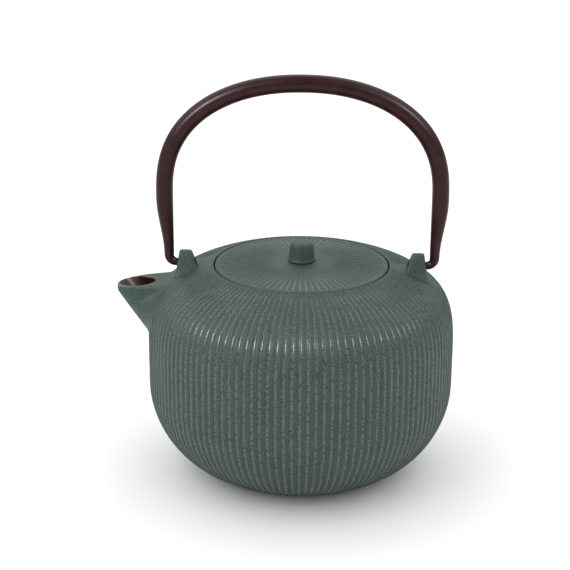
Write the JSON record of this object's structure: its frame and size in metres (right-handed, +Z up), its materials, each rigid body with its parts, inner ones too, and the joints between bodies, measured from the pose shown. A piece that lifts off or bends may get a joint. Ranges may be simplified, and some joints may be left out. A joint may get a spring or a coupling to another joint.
{
  "type": "cast iron teapot",
  "caption": "Round cast iron teapot with a beak spout, flush knobbed lid, hanging strainer basket and a tubular bail hinged on two shoulder lugs.",
  "frame": {"origin": "centre of the foot's ground underside, on the axis of the round body", "axes": "+Z up through the knob, -X towards the spout, the bail's hinge axis along X"},
  "size_m": [0.173, 0.157, 0.206],
  "materials": {
    "enamelled_iron": "satin",
    "bail_enamel": "satin",
    "stainless": "satin",
    "rivet_steel": "satin"
  },
  "bodies": {
    "pot": {"pot_body": "enamelled_iron"},
    "bail": {"bail_tube": "bail_enamel", "bail_pin_spout_side": "bail_enamel", "bail_pin_rear": "bail_enamel"},
    "infuser": {"infuser_rim": "stainless", "infuser_wall": "stainless", "infuser_base": "stainless"},
    "lid": {"lid_plate": "enamelled_iron", "lid_knob": "enamelled_iron", "knob_washer": "rivet_steel", "knob_rivet": "rivet_steel"}
  },
  "joints": [
    {"name": "bail_swing", "type": "hinge", "parent": "pot", "child": "bail", "pos_m": [0, 0, 0.10839], "axis": [1, 0, 0], "range_deg": [-108, 108]},
    {"name": "infuser_lift", "type": "slide", "parent": "pot", "child": "infuser", "axis": [0, 0, 1], "range_m": [0, 0.045]},
    {"name": "lid_lift", "type": "slide", "parent": "infuser", "child": "lid", "axis": [0, 0, 1], "range_m": [0, 0.025]}
  ]
}
